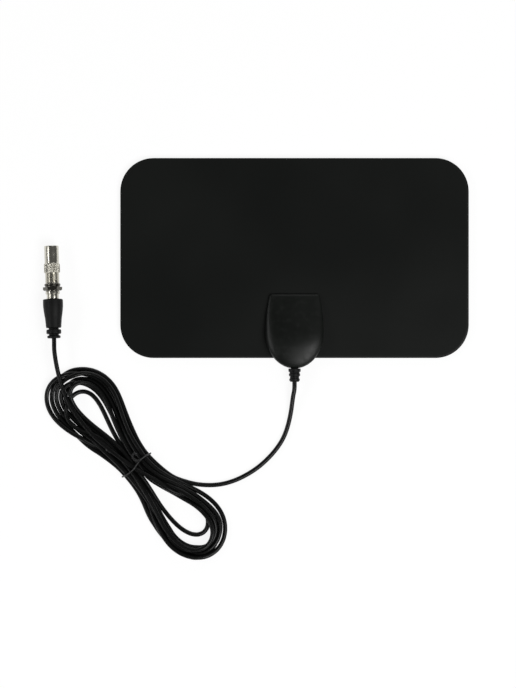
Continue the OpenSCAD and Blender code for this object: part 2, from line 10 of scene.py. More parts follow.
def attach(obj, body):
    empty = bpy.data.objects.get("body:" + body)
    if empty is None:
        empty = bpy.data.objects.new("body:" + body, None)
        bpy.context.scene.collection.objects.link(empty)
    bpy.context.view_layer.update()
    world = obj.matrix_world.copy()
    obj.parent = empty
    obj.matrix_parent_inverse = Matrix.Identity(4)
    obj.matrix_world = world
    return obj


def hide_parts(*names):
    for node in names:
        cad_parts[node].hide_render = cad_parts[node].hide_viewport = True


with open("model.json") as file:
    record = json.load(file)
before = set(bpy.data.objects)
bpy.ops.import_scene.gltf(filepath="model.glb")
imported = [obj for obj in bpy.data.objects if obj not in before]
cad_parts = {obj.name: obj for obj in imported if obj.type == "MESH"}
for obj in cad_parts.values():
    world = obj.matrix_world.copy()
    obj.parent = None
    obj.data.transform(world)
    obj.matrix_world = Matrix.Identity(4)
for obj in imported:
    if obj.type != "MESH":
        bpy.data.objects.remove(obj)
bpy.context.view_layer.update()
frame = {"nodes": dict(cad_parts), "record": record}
MM = 0.001


def placed(name, data):
    """A new object that holds the data, linked to the scene."""
    thing = bpy.data.objects.new(name, data)
    bpy.context.scene.collection.objects.link(thing)
    return thing


def mesh_of(form, name):
    """The finished bmesh as a mesh."""
    mesh = bpy.data.meshes.new(name)
    form.to_mesh(mesh)
    form.free()
    return mesh


# ---------------------------------------------------------------- camera
# The photograph looks straight down on the antenna from far away.
PICTURE_MIDDLE = Vector((-24.1, -48.9, 3.1)) * MM
PICTURE_TALL = 454.1 * MM
CAMERA_UP = 2.6
SENSOR = 36
camera_data = bpy.data.cameras.new("camera")
camera_data.sensor_width = SENSOR
camera_data.lens = SENSOR * CAMERA_UP / PICTURE_TALL
camera_data.clip_start = 0.1
camera_data.clip_end = 20
camera = placed("camera", camera_data)
camera.location = PICTURE_MIDDLE + Vector((0, 0, CAMERA_UP))
bpy.context.scene.camera = camera

# ---------------------------------------------------------------- the lead
# The lead is worked out in millimetres: in plan from the point where it leaves the box, and in
# height from the floor. A stop on its way is (x, y, height).
EXIT = np.array([0.0, -73.85, 0.0])
LEAD_D = 3.0
LEAD_R = LEAD_D / 2
STEP = 2.5
# From the box to the hank
LEAD_ROUTE = [
    (0, 0, 5.5), (0, -2, 5.5), (0, -4, 5.5), (-1, -10, 4.3), (-2.2, -18.7, 2.4), (-4.2, -28.7, 1.7),
    (-7.4, -38.4, 1.6), (-12.8, -45.1, 1.6), (-18.5, -51.3, 1.6), (-24.7, -57.1, 1.6),
    (-31.6, -61.1, 1.6), (-39.4, -65.1, 1.6), (-48.4, -67.9, 1.6), (-58.2, -68.2, 1.6),
    (-66.7, -67.2, 1.6), (-71.4, -66.7, 1.6), (-78.4, -65.8, 1.6), (-85.1, -61.8, 1.6),
    (-91.4, -55.6, 1.6)]
# From the hank into the plug, whose boot begins at TAIL_STOP
PLUG_ROUTE = [
    (-155.2, 5, 9), (-155.9, 7.6, 9.6), (-156.6, 10.6, 9.8), (-158.1, 18, 9.1),
    (-158.38, 24.8, 8.12), (-158.44, 26.8, 8.01), (-158.5, 28.8, 7.91),
    (-158.66, 33.79, 7.65), (-158.81, 38.78, 7.39), (-158.97, 43.77, 7.12)]
TAIL_STOP = 6
# Middle of the hank's bundle and its width, from the tie round the upper and the lower loop
BUNDLE = np.array([
    (-101.2, -51.3, 10.4), (-110.1, -38.2, 12.9), (-118.8, -21.4, 16.4), (-125.9, -6.1, 18.7),
    (-135.8, 2.3, 15.1), (-149.7, 0.6, 14.5), (-154.7, -5.6, 19.9), (-154.6, -12.9, 21.5),
    (-149.7, -20.6, 21.1), (-141.5, -28.6, 18.8), (-133.8, -35.8, 15.8), (-120.4, -46, 14.6),
    (-108.2, -58.3, 11), (-98.7, -72.6, 9.1), (-91.2, -85.7, 10.6), (-85.7, -98, 9),
    (-79, -106.3, 9.9), (-69.6, -112, 10), (-60.6, -112.7, 9.1), (-53.6, -108.3, 10.4),
    (-50.2, -99.5, 10.5), (-52, -90.9, 12.9), (-56.3, -84.1, 13), (-65.4, -75.9, 12.8),
    (-77.9, -68.9, 12.3), (-88.4, -62.7, 12.7)])
TURNS = 7
TURN_RISE = 0.85
# Order of the turns across the bundle at some stations, 0 at the inside
ORDER = {
    0: [6, 5, 4, 3, 2, 1, 0], 3.5: [6, 4, 5, 3, 1, 0, 2], 6: [5, 6, 4, 2, 3, 0, 1],
    8: [5, 6, 4, 2, 3, 0, 1], 12: [6, 4, 5, 1, 2, 3, 0], 16: [5, 6, 3, 4, 1, 2, 0],
    21: [4, 6, 5, 2, 3, 1, 0], 26: [5, 4, 3, 2, 1, 0, 0]}
# At these stations all turns but the inmost keep to the outside of the bundle
OUTER_STATIONS, OUTER_SQUEEZE, OUTER_SHIFT = range(4), 0.85, 0.15
# At these the outmost turn lies apart, and the others keep to the inside
APART_STATIONS, APART_FROM, APART_SPREAD = range(19, 24), 0.6, 1.15
INNER_SQUEEZE, INNER_SHIFT = 0.75, 0.25
# Two turns that stray, across the upper opening and inside the lower loop
UPPER_STRAY_TURN, LOWER_STRAY_TURN = 5, 6
STRAY_UPPER = {
    1: (-113.2, -44.8, 3.3), 2: (-122.7, -27.5, 4), 3: (-129.9, -12.9, 2.3), 4: (-133.9, -6.5, 2),
    5: (-140.5, -4.9, 3.5), 6: (-146.9, -9.4, 5.5), 7: (-151, -16.7, 6.8), 8: (-151.3, -24.1, 6.8),
    9: (-146.8, -31.1, 6.4)}
STRAY_LOWER = {
    13: (-96.6, -71, 5.7), 14: (-90.3, -79.9, 4.3), 15: (-85, -86, 2.9), 16: (-78.4, -93.3, 1.7),
    17: (-71.2, -99.7, 1.5), 18: (-63.8, -102.4, 1.5), 19: (-57.9, -99.7, 1.7),
    20: (-56.3, -92.4, 1.9), 21: (-59.2, -84.4, 3), 22: (-63.2, -80.9, 4), 23: (-68.9, -75.3, 5.5)}
# The last turn goes back up through the waist and leaves for the plug
RETURN = [
    (-79.2, -72.4, 6.8), (-87.7, -65.1, 7), (-98.8, -60.1, 7), (-108.6, -55.2, 7), (-120.8, -45, 7),
    (-134.4, -34.2, 6.8), (-142.7, -23.2, 6.5), (-148.4, -16.3, 7.2), (-151.6, -7.7, 8),
    (-154.1, -0.6, 8.8)]
# Where the tie's loop reaches furthest out on either side of the waist, and its wire
TIE_ENDS = np.array([(-96.4, -48.3), (-112.9, -62.2)])
TIE_WAY = (TIE_ENDS[1] - TIE_ENDS[0]) / np.linalg.norm(TIE_ENDS[1] - TIE_ENDS[0])
TIE_WIRE_R = 0.6
# Points cut between two stops of a route
POINTS_BETWEEN = 12
# Points of the lead held fast in the box and in the plug, and points outside the hank at its ends
HELD_START, HELD_END = 8, 11
BEFORE_HANK, AFTER_HANK = 62, 28
# Settling: rounds, rounds from one search for neighbours to the next, and pushes in a round
ROUNDS, SEARCH_EVERY, PUSHES = 300, 10, 3
# Neighbours: diameters along the lead that don't count, and millimetres past a diameter that do
SKIP_DIAMETERS, NEAR = 3.6, 3
# In a round: millimetres sunk, share of an overlap pushed apart, share of a stretch pulled back,
# share of the way back to the route, and bending stiffness over 1, 2 and 4 points
SINK, PUSH, PULL, HOME = 0.03, 1.3, 0.25, 0.07
STIFFNESS = ((1, 0.8), (2, 0.8), (4, 0.45))
# The tie's wire under the turns lifts them up to this far from it, and its loop holds them down
TIE_LIFT_REACH = 14
HANK_TOP, LID_GIVE, LID_PRESS = 7.05, 0.6, 0.4


def curve_through(stops, step):
    """Points at even steps along a smooth curve through the stops."""
    stops = np.asarray(stops, float)
    ends = np.vstack([2 * stops[0] - stops[1], stops, 2 * stops[-1] - stops[-2]])
    along = []
    for i in range(1, len(ends) - 2):
        a, b, c, d = ends[i - 1:i + 3]
        apart = [np.linalg.norm(q - p) ** 0.5 for p, q in ((a, b), (b, c), (c, d))]
        ka, kb, kc, kd = np.cumsum([0] + apart)
        for t in np.linspace(kb, kc, POINTS_BETWEEN, endpoint=False):
            ab = ((kb - t) * a + (t - ka) * b) / (kb - ka)
            bc = ((kc - t) * b + (t - kb) * c) / (kc - kb)
            cd = ((kd - t) * c + (t - kc) * d) / (kd - kc)
            low = ((kc - t) * ab + (t - ka) * bc) / (kc - ka)
            high = ((kd - t) * bc + (t - kb) * cd) / (kd - kb)
            along.append(((kc - t) * low + (t - kb) * high) / (kc - kb))
    along.append(stops[-1])
    return even_steps(np.array(along), step)


def even_steps(points, step):
    """The line through the points, cut into even steps."""
    reach = np.append(0, np.cumsum(np.linalg.norm(np.diff(points, axis=0), axis=1)))
    marks = np.linspace(0, reach[-1], int(round(reach[-1] / step)) + 1)
    return np.stack([np.interp(marks, reach, points[:, axis]) for axis in range(3)], 1)


def lane_of(turn, station):
    """Where a turn runs across the bundle at a station, from -1 inside to 1 outside."""
    marks = sorted(ORDER)
    before = max(mark for mark in marks if mark <= station)
    after = min(mark for mark in marks if mark > station)
    t = (station - before) / (after - before)
    t = t * t * (3 - 2 * t)
    lane = ((1 - t) * ORDER[before][turn] + t * ORDER[after][turn]) / (TURNS - 1) * 2 - 1
    if station in APART_STATIONS:
        lane = lane * INNER_SQUEEZE - INNER_SHIFT if lane < APART_FROM else lane * APART_SPREAD
    if station in OUTER_STATIONS and lane > -1:
        lane = lane * OUTER_SQUEEZE + OUTER_SHIFT
    return lane


def wound_lead():
    """The lead before it settles: from the box, round the hank in its turns, and to the plug."""
    middle = BUNDLE[:, :2]
    behind, ahead = np.roll(middle, 1, 0), np.roll(middle, -1, 0)
    travel = ahead - behind
    travel /= np.linalg.norm(travel, axis=1)[:, None]
    outward = np.stack([-travel[:, 1], travel[:, 0]], 1)
    if np.sum(middle[:, 0] * ahead[:, 1] - ahead[:, 0] * middle[:, 1]) > 0:
        outward = -outward
    stops = list(LEAD_ROUTE)
    for turn in range(TURNS):
        for i, width in enumerate(BUNDLE[:, 2]):
            if turn == UPPER_STRAY_TURN and i in STRAY_UPPER:
                stops.append(STRAY_UPPER[i])
            elif turn == LOWER_STRAY_TURN and i in STRAY_LOWER:
                stops.append(STRAY_LOWER[i])
            elif turn != LOWER_STRAY_TURN or i < min(STRAY_LOWER):
                spot = middle[i] + outward[i] * lane_of(turn, i) * ((width - LEAD_D) / 2)
                stops.append((spot[0], spot[1], LEAD_R + TURN_RISE * turn))
    return curve_through(stops + RETURN + PLUG_ROUTE, STEP)


def settled(points):
    """Lets the turns lie on each other: a diameter apart, stiff in bending, drawn down."""
    line = points.copy()
    count = len(line)
    index = np.arange(count)
    free = np.ones((count, 1))
    free[:HELD_START] = 0
    free[-HELD_END:] = 0
    in_hank = (index > BEFORE_HANK) & (index < count - AFTER_HANK)
    length = np.linalg.norm(np.diff(line, axis=0), axis=1).mean()
    for round_no in range(ROUNDS):
        if round_no % SEARCH_EVERY == 0:
            apart = np.abs(index[:, None] - index[None, :]) > SKIP_DIAMETERS * LEAD_D / STEP
            close = ((line[:, None] - line[None]) ** 2).sum(-1) < (LEAD_D + NEAR) ** 2
            first, second = np.nonzero(np.triu(apart & close))
        line[:, 2] -= SINK * free[:, 0]
        for s, strength in STIFFNESS:
            bend = np.zeros_like(line)
            bend[2 * s:-2 * s] = (4 * line[s:-3 * s] - line[:-4 * s] - 6 * line[2 * s:-2 * s]
                                  + 4 * line[3 * s:-s] - line[4 * s:]) / 16
            line += strength * bend * free
        for _ in range(PUSHES):
            gap = line[first] - line[second]
            far = np.linalg.norm(gap, axis=1)
            hit = far < LEAD_D
            shove = gap[hit] * ((LEAD_D - far[hit]) * 0.5 / np.maximum(far[hit], 1e-6))[:, None]
            moved = np.zeros_like(line)
            times = np.zeros(count)
            for which, way in ((first[hit], 1), (second[hit], -1)):
                np.add.at(moved, which, way * shove)
                np.add.at(times, which, 1)
            line += moved / np.maximum(times, 1)[:, None] * PUSH * free
            part = np.diff(line, axis=0)
            size = np.linalg.norm(part, axis=1)[:, None]
            pull = part * (size - length) / size * PULL
            line[:-1] += pull * free[:-1]
            line[1:] -= pull * free[1:]
        line[:, :2] += HOME * (points[:, :2] - line[:, :2]) * free
        from_tie = np.abs((line[:, 0] - TIE_ENDS[0, 0]) * TIE_WAY[1]
                          - (line[:, 1] - TIE_ENDS[0, 1]) * TIE_WAY[0])
        lift = 1 + np.cos(np.pi * np.clip(from_tie / TIE_LIFT_REACH, 0, 1))
        ground = LEAD_R + TIE_WIRE_R * lift
        line[:, 2] = np.where(free[:, 0] > 0, np.maximum(line[:, 2], ground), line[:, 2])
        high = in_hank & (line[:, 2] > HANK_TOP)
        line[:, 2] = np.where(high, line[:, 2] * LID_GIVE + HANK_TOP * LID_PRESS, line[:, 2])
    return line


def curve_piece(name, points, radius, closed=False, resolution=3, sides=4):
    """A round cord along points given in millimetres."""
    data = bpy.data.curves.new(name, "CURVE")
    data.dimensions = "3D"
    data.resolution_u = resolution
    data.render_resolution_u = resolution
    data.bevel_depth = radius * MM
    data.bevel_resolution = sides
    data.use_fill_caps = True
    spline = data.splines.new("BEZIER")
    spline.use_cyclic_u = closed
    spline.bezier_points.add(len(points) - 1)
    for knot, point in zip(spline.bezier_points, points):
        knot.co = Vector([float(c) for c in point]) * MM
        knot.handle_left_type = knot.handle_right_type = "AUTO"
    return placed(name, data)


# Every second point of the settled line is a knot of the curve.
KNOT_EVERY = 2
lead_line = settled(wound_lead())
lead = curve_piece("antenna_lead", (lead_line + EXIT)[::KNOT_EVERY], LEAD_R)


# ---------------------------------------------------------------- finishes
class Wire:
    """A socket of a finish's node tree, with arithmetic that adds Math nodes."""

    def __init__(self, socket):
        self.socket = socket
        self.tree = socket.id_data

    def node(self, kind, settings=None, sockets=None, out=0):
        """A new node of the kind, with its settings and its sockets' values or links."""
        made = self.tree.nodes.new("ShaderNode" + kind)
        for key, value in (settings or {}).items():
            setattr(made, key, value)
        for key, value in (sockets or {}).items():
            if isinstance(value, Wire):
                self.tree.links.new(value.socket, made.inputs[key])
            else:
                made.inputs[key].default_value = value
        return Wire(made.outputs[out])

    def math(self, operation, first, second=0.0):
        return self.node("Math", {"operation": operation}, {0: first, 1: second})

    def __add__(self, other):
        return self.math("ADD", self, other)

    def __sub__(self, other):
        return self.math("SUBTRACT", self, other)

    def __rsub__(self, other):
        return self.math("SUBTRACT", other, self)

    def __mul__(self, other):
        return self.math("MULTIPLY", self, other)

    def __pow__(self, other):
        return self.math("POWER", self, other)

    def __abs__(self):
        return self.math("ABSOLUTE", self)

    __radd__ = __add__
    __rmul__ = __mul__

    def at_least(self, other):
        return self.math("MAXIMUM", self, other)

    def at_most(self, other):
        return self.math("MINIMUM", self, other)

    def step_up(self, start, end):
        """0 below start, 1 above end, smooth between."""
        return self.node("MapRange", {"interpolation_type": "SMOOTHSTEP"},
                         {0: self, 1: start, 2: end, 3: 0.0, 4: 1.0})

    def blend(self, first, second):
        """The colour first where this is 0 and second where it is 1."""
        whole = [(*c, 1) if isinstance(c, tuple) else c for c in (first, second)]
        return self.node("Mix", {"data_type": "RGBA"}, {0: self, 6: whole[0], 7: whole[1]}, out=2)

    def noise(self, scale, detail=2.0, roughness=0.5):
        """Fractal noise at this place, with features of about 1 / scale."""
        return self.node("TexNoise", None,
                         {"Vector": self, "Scale": scale, "Detail": detail, "Roughness": roughness})


class Finish:
    """A named material with one Principled shader and a start on Object coordinates."""

    def __init__(self, name, colour, roughness, metallic=0.0, fixed=None):
        self.material = bpy.data.materials.new(name)
        self.material.use_nodes = True
        self.material.diffuse_color = (*colour, 1)
        tree = self.material.node_tree
        tree.nodes.clear()
        self.shader = tree.nodes.new("ShaderNodeBsdfPrincipled")
        last = tree.nodes.new("ShaderNodeOutputMaterial")
        tree.links.new(self.shader.outputs[0], last.inputs[0])
        self.place = Wire(tree.nodes.new("ShaderNodeTexCoord").outputs["Object"])
        for key, value in {"Base Color": (*colour, 1), "Roughness": roughness, "Metallic": metallic,
                           **(fixed or {})}.items():
            self.set(key, value)

    def set(self, socket, value):
        target = self.shader.inputs[socket]
        if isinstance(value, Wire):
            self.shader.id_data.links.new(value.socket, target)
        else:
            target.default_value = value

    def bump(self, height, depth):
        self.set("Normal", self.place.node("Bump", None, {
            "Height": height, "Distance": depth, "Strength": 1.0}))

    def axis(self, which):
        """One coordinate of the place, in metres."""
        return self.place.node("SeparateXYZ", None, {0: self.place}, out="XYZ".index(which))

    def stretched(self, factors, turn=(0, 0, 0), shift=(0, 0, 0)):
        """The place moved, turned and then scaled, for patterns that run one way."""
        moved = self.place.node("VectorMath", {"operation": "ADD"}, {0: self.place, 1: shift})
        turned = self.place.node("VectorRotate", {"rotation_type": "EULER_XYZ"},
                                 {"Vector": moved, "Rotation": turn})
        return self.place.node("VectorMath", {"operation": "MULTIPLY"}, {0: turned, 1: factors})


def moulded(name, colour, roughness, grain, depth, spread=0.35, fixed=None):
    """Moulded plastic or rubber with a spark grain, faint flow marks and handling wear."""
    finish = Finish(name, colour, roughness, 0.0, fixed)
    flow = finish.place.noise(55, 3).step_up(0.3, 0.75)
    rub = finish.place.noise(260, 4, 0.6).step_up(0.48, 0.72)
    pale = tuple(c * (1 + spread) + 0.001 for c in colour)
    dark = tuple(c * (1 - spread) for c in colour)
    finish.set("Base Color", (flow * 0.6 + rub * 0.4).blend(dark, pale))
    finish.set("Roughness", roughness - 0.06 + flow * 0.05 + rub * 0.09)
    finish.bump(finish.place.noise(grain, 2, 0.6), depth)
    return finish


def metal(name, colour, roughness, spread=0.12, marks=900, depth=0.00001):
    """Metal with fine tool marks and uneven tarnish."""
    finish = Finish(name, colour, roughness, 1.0)
    tarnish = finish.place.noise(180, 4, 0.6).step_up(0.35, 0.75)
    dark = tuple(c * (1 - spread * 2.5) for c in colour)
    finish.set("Base Color", tarnish.blend(colour, dark))
    finish.set("Roughness", roughness + tarnish * spread + finish.place.noise(marks, 2) * 0.06)
    finish.bump(finish.place.noise(marks, 3), depth)
    return finish


# Where the plug's stations are counted from, the way it points, the panel, and the chips' middle
PLUG_TAIL = Vector([float(c) for c in EXIT + PLUG_ROUTE[TAIL_STOP]]) * MM
PLUG_AXIS = Vector((-0.031368, 0.998137, -0.052336))
PANEL_W, PANEL_H, PANEL_R = 230 * MM, 132 * MM, 22 * MM
PANEL_MID_Y = 7.85 * MM
CHIP_MID_Y, CHIP_CAP_START, CHIP_CAP_END = -46.45 * MM, 0.62 * MM, 0.66 * MM


def film_finish():
    """Black laminated film: satin, finely grained, with a pressed seam at its edge."""
    finish = Finish("film", (0.0055, 0.0064, 0.0056), 0.32, 0.0, {"Specular IOR Level": 0.25})
    side = abs(finish.axis("X")) - (PANEL_W / 2 - PANEL_R)
    rise = abs(finish.axis("Y") - PANEL_MID_Y) - (PANEL_H / 2 - PANEL_R)
    corner = (side.at_least(0.0) ** 2 + rise.at_least(0.0) ** 2) ** 0.5
    inward = PANEL_R - (corner + side.at_least(rise).at_most(0.0))
    seam = 1 - inward.step_up(0.9 * MM, 1.6 * MM)
    sweep = finish.place.noise(9, 2).step_up(0.3, 0.75)
    scuff = finish.stretched((40, 400, 40), (0, 0, 0.5)).noise(6, 4, 0.65).step_up(0.6, 0.85)
    grain = finish.place.noise(2600, 2, 0.55)
    finish.set("Base Color", (sweep * 0.7 + scuff * 0.3).blend((0.0038, 0.0046, 0.004),
                                                               (0.0062, 0.0072, 0.0062)))
    finish.set("Roughness", 0.28 + sweep * 0.05 + scuff * 0.08 + grain * 0.06 + seam * 0.06)
    finish.bump(grain * 0.25 + inward.step_up(0, 1.4 * MM) * 2.0 + sweep * 1.2, 0.00004)
    return finish


def plated(name, colour, roughness, dull):
    """Plated plug metal with turning marks round the plug's axis."""
    finish = Finish(name, colour, roughness, 1.0)
    lean = PLUG_AXIS.to_track_quat("Z", "Y").inverted().to_euler()
    rings = finish.stretched((30, 30, 5200), tuple(lean), tuple(-PLUG_TAIL)).noise(1, 3)
    tarnish = finish.place.noise(420, 4, 0.6).step_up(0.4, 0.8)
    finish.set("Base Color", tarnish.blend(colour, tuple(c * (1 - dull) for c in colour)))
    finish.set("Roughness", roughness + rings * 0.06 + tarnish * 0.05)
    finish.bump(rings, 0.0000015)
    return finish


def foil_finish():
    """Foil with fine rolling lines."""
    finish = Finish("foil", (0.62, 0.6, 0.55), 0.3, 1.0)
    rolled = finish.stretched((60, 3000, 60)).noise(1, 3)
    finish.set("Base Color", rolled.blend((0.56, 0.54, 0.5), (0.68, 0.66, 0.61)))
    finish.set("Roughness", 0.24 + rolled * 0.14)
    finish.bump(rolled, 0.00001)
    return finish


def board_finish():
    """Lacquered circuit board over a glass weave."""
    finish = Finish("board", (0.03, 0.15, 0.06), 0.32, 0.0, {"Coat Weight": 0.4})
    weave = finish.stretched((1, 1, 0)).noise(1400, 1) * 0.6 + finish.place.noise(300, 3) * 0.4
    finish.set("Base Color", weave.step_up(0.3, 0.7).blend((0.022, 0.12, 0.045),
                                                           (0.04, 0.18, 0.075)))
    finish.set("Roughness", 0.26 + weave * 0.14)
    finish.bump(weave, 0.00002)
    return finish


def chip_finish():
    """Ceramic chip with tinned ends."""
    finish = Finish("chip", (0.25, 0.17, 0.1), 0.4)
    ends = abs(finish.axis("Y") - CHIP_MID_Y).step_up(CHIP_CAP_START, CHIP_CAP_END)
    speck = finish.place.noise(2400, 3)
    body = speck.blend((0.2, 0.13, 0.075), (0.31, 0.22, 0.13))
    finish.set("Base Color", ends.blend(body, (0.6, 0.59, 0.56)))
    finish.set("Metallic", ends)
    finish.set("Roughness", 0.42 - ends * 0.14 + speck * 0.08)
    finish.bump(speck, 0.00001)
    return finish


def sheath_finish():
    """Black PVC lead: satin, with faint clouding and dust."""
    finish = Finish("sheath", (0.0045, 0.0047, 0.0046), 0.28, 0.0, {"Specular IOR Level": 0.2})
    cloud = finish.place.noise(120, 4, 0.6)
    dust = finish.place.noise(1500, 4, 0.7).step_up(0.55, 0.8)
    finish.set("Base Color", (cloud * 0.6 + dust * 0.4).blend((0.0028, 0.003, 0.0029),
                                                              (0.007, 0.0072, 0.0071)))
    finish.set("Roughness", 0.22 + cloud * 0.1 + dust * 0.12)
    finish.bump(finish.place.noise(900, 3, 0.6), 0.00003)
    return finish


FINISHES = {
    "film": film_finish(),
    "foil": foil_finish(),
    "shell": moulded("shell", (0.0041, 0.0053, 0.0042), 0.43, 2200, 0.000006, 0.15,
                     {"Specular IOR Level": 0.27}),
    "board": board_finish(),
    "copper": metal("copper", (0.72, 0.36, 0.17), 0.3),
    "tin": metal("tin", (0.62, 0.6, 0.55), 0.34),
    "ferrite": moulded("ferrite", (0.035, 0.035, 0.04), 0.55, 1800, 0.00004),
    "enamel_wire": moulded("enamel_wire", (0.35, 0.09, 0.02), 0.2, 2500, 0.00001, 0.15,
                           {"Coat Weight": 0.8}),
    "chip": chip_finish(),
    "solder": metal("solder", (0.55, 0.56, 0.57), 0.22, 0.1, 700, 0.00002),
    "sheath": sheath_finish(),
    "dielectric": moulded("dielectric", (0.78, 0.76, 0.7), 0.5, 1600, 0.00003, 0.03),
    "relief": moulded("relief", (0.0035, 0.0037, 0.0036), 0.5, 1500, 0.000008, 0.2,
                      {"Specular IOR Level": 0.2}),
    "tie": moulded("tie", (0.011, 0.0115, 0.0115), 0.34, 1500, 0.00001),
    "boot": moulded("boot", (0.0035, 0.0037, 0.0036), 0.55, 1400, 0.000008, 0.2,
                    {"Specular IOR Level": 0.2}),
    "nickel": plated("nickel", (0.6, 0.58, 0.51), 0.19, 0.12),
    "dark_nickel": plated("dark_nickel", (0.11, 0.105, 0.09), 0.24, 0.25),
    "contact": metal("contact", (0.72, 0.68, 0.55), 0.2),
}


def dressed(piece, slot):
    """The piece in the slot's finish, riding on the body."""
    piece.data.materials.clear()
    piece.data.materials.append(FINISHES[slot].material)
    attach(piece, "root")
    return piece


# ---------------------------------------------------------------- pieces
# Points nearer than WELD, in metres, are one; faces nearer to flat than FLAT_ANGLE are joined
WELD = 1e-6
FLAT_ANGLE, EASE_ANGLE, THREAD_ANGLE = math.radians(0.2), math.radians(32), math.radians(40)


def shaded(form, sharp):
    """Shades the form smooth, apart from edges turned by more than sharp."""
    for face in form.faces:
        face.smooth = True
    for edge in form.edges:
        edge.smooth = edge.calc_face_angle(0.0) < sharp


def eased_copy(node, slot, name, ease):
    """A CAD node as one merged, smooth form with its edges eased, in the node's own place."""
    form = bmesh.new()
    form.from_mesh(frame["nodes"][node].data)
    bmesh.ops.remove_doubles(form, verts=form.verts, dist=WELD)
    bmesh.ops.dissolve_limit(form, angle_limit=FLAT_ANGLE, verts=form.verts, edges=form.edges)
    shaded(form, EASE_ANGLE)
    mesh = mesh_of(form, name)
    if "custom_normal" in mesh.attributes:
        mesh.attributes.remove(mesh.attributes["custom_normal"])
    piece = placed(name, mesh)
    bevel = piece.modifiers.new("eased edges", "BEVEL")
    bevel.width = ease * MM
    bevel.segments = 2
    bevel.limit_method = "ANGLE"
    bevel.angle_limit = EASE_ANGLE
    bevel.miter_outer = "MITER_ARC"
    dressed(piece, slot)
    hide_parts(node)
    return piece


slots = {entry["node"]: entry["material_slot"] for entry in frame["record"]["subparts"]}
# Solids that come back with eased edges: the new piece's name and how far its edges are eased
EASED = {
    "front_shell": ("box_cover", 0.25), "rear_shell": ("box_back", 0.2),
    "strain_relief": ("lead_bush", 0.1), "plug_boot": ("plug_grip", 0.12),
    "connector_body": ("plug_neck", 0.08), "coupling_nut": ("plug_nut", 0.1)}
LEAD_NODES = ("lead_cable", "cable_hank", "plug_cable", "plug_sheath")
pieces = {node: eased_copy(node, slots[node], name, ease)
          for node, (name, ease) in EASED.items()}
for node, thing in frame["nodes"].items():
    if node not in (*EASED, *LEAD_NODES, "adapter_shell", "hank_tie"):
        for material_slot in thing.material_slots:
            material_slot.material = FINISHES[slots[node]].material

# Stations of the adapter along the plug's axis and its radii, in millimetres
THREAD_START, THREAD_END, THREAD_PITCH, THREAD_DEEP = 36.2, 43.0, 0.8, 0.35
KNURL_START, KNURL_END, KNURL_DEEP, KNURL_COUNT = 43.4, 48.7, 0.24, 50
BARREL_R, KNURL_R, BORE_R, PLUG_LONG = 4.75, 5.3, 4.1, 60.9
SEAT_R, THREAD_FACE, SHOULDER, BARREL_WAY, BORE_FLOOR = 2.9, 33.7, 49.3, 55, 51
THREAD_SHARP, THREAD_RUN_OUT, KNURL_SHARP = 1.25, 0.6, 1.5
# Steps round the adapter, millimetres between rings at the thread, and rings at the knurl
AROUND, THREAD_STEP, KNURL_ROWS = 240, 0.1, 44
# A point this near to the full radius is on the outside
OUTSIDE = 0.98


def adapter_profile():
    """Outline of the adapter as (radius, station), with close rings at the thread and the knurl."""
    root_r = BARREL_R - THREAD_DEEP / 2
    thread_rows = int(round((THREAD_END - THREAD_START) / THREAD_STEP))
    profile = [(SEAT_R, THREAD_FACE), (root_r, THREAD_FACE), (root_r, THREAD_START - 0.2)]
    profile += [(BARREL_R, THREAD_START + THREAD_STEP * i) for i in range(thread_rows + 1)]
    profile += [(KNURL_R - 0.4, THREAD_END), (KNURL_R - 0.15, KNURL_START - 0.2)]
    profile += [(KNURL_R, KNURL_START + (KNURL_END - KNURL_START) * i / KNURL_ROWS)
                for i in range(KNURL_ROWS + 1)]
    profile += [(KNURL_R - 0.15, KNURL_END + 0.2), (KNURL_R - 0.4, SHOULDER - 0.1),
                (BARREL_R + 0.1, SHOULDER), (BARREL_R, SHOULDER + 0.3), (BARREL_R, BARREL_WAY),
                (BARREL_R, PLUG_LONG - 0.35), (BARREL_R - 0.1, PLUG_LONG - 0.1),
                (BARREL_R - 0.25, PLUG_LONG),
                (BORE_R + 0.15, PLUG_LONG), (BORE_R, PLUG_LONG - 0.3), (BORE_R, BORE_FLOOR),
                (SEAT_R, BORE_FLOOR)]
    return profile


def cut_depth(radius, station, share):
    """How deep thread or knurl is cut at a point of the outside, share of a turn round the axis."""
    if THREAD_START - 0.01 < station < THREAD_END - 0.05 and radius > BARREL_R * OUTSIDE:
        wave = abs(((station / THREAD_PITCH + share) % 1) * 2 - 1)
        run_out = min(1, (THREAD_END - station) / THREAD_RUN_OUT)
        return THREAD_DEEP * (1 - min(1, wave * THREAD_SHARP) * run_out)
    if KNURL_START - 0.01 < station < KNURL_END + 0.01 and radius > KNURL_R * OUTSIDE:
        slope = (station - KNURL_START) / (2 * math.pi * KNURL_R) * KNURL_COUNT
        waves = [abs(((share * KNURL_COUNT + way * slope) % 1) * 2 - 1) for way in (1, -1)]
        return KNURL_DEEP * (1 - min(1, KNURL_SHARP * min(waves)))
    return 0


